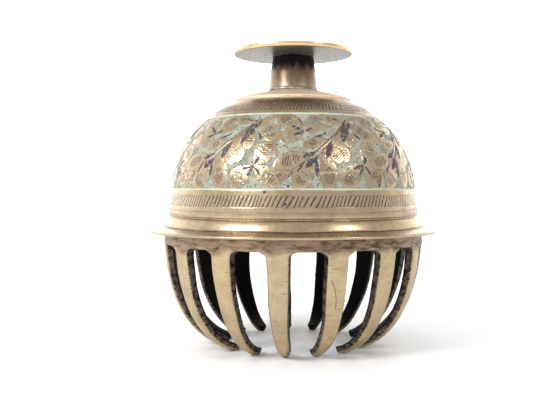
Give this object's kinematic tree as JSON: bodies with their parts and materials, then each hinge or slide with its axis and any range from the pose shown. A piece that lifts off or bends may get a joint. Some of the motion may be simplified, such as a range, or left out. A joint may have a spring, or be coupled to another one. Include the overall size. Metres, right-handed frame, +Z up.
{
  "type": "brass claw bell",
  "caption": "Engraved brass claw bell: a domed bell on inward-curved claws, with a short stem, a flat disc handle and a hanging clapper.",
  "frame": {"origin": "on the table, at the middle of the bell's footprint", "axes": "+Z up along the bell's axis, -Y to the front"},
  "size_m": [0.1166, 0.1166, 0.12],
  "materials": {
    "engraved_brass": "aged and polished, engraved, with green and dark enamel left in the cuts",
    "cast_brass": "filed casting, dark inside",
    "handle_brass": "turned and tarnished",
    "disc_brass": "polished edge and top, rough grey underside",
    "iron": "forged, blackened",
    "clapper_brass": "rough cast, tarnished"
  },
  "bodies": {
    "bell": {"bell_dome": "engraved_brass", "claw_band": "cast_brass", "claw_01": "cast_brass", "claw_02": "cast_brass", "claw_03": "cast_brass", "claw_04": "cast_brass", "claw_05": "cast_brass", "claw_06": "cast_brass", "claw_07": "cast_brass", "claw_08": "cast_brass", "claw_09": "cast_brass", "claw_10": "cast_brass", "claw_11": "cast_brass", "claw_12": "cast_brass", "claw_13": "cast_brass", "claw_14": "cast_brass", "claw_15": "cast_brass", "handle_stem": "handle_brass", "handle_disc": "disc_brass", "crown_washer": "iron", "tie_rod": "iron"},
    "link": {"clapper_link": "iron"},
    "clapper": {"clapper_shank": "iron", "clapper_ball": "clapper_brass"}
  },
  "joints": [
    {"name": "link_swing", "type": "hinge", "parent": "bell", "child": "link", "pos_m": [0, 0, 0.0915], "axis": [0, 1, 0], "range_deg": [-50, 50]},
    {"name": "clapper_swing", "type": "hinge", "parent": "link", "child": "clapper", "pos_m": [0, 0, 0.0835], "axis": [1, 0, 0], "range_deg": [-50, 50]}
  ]
}
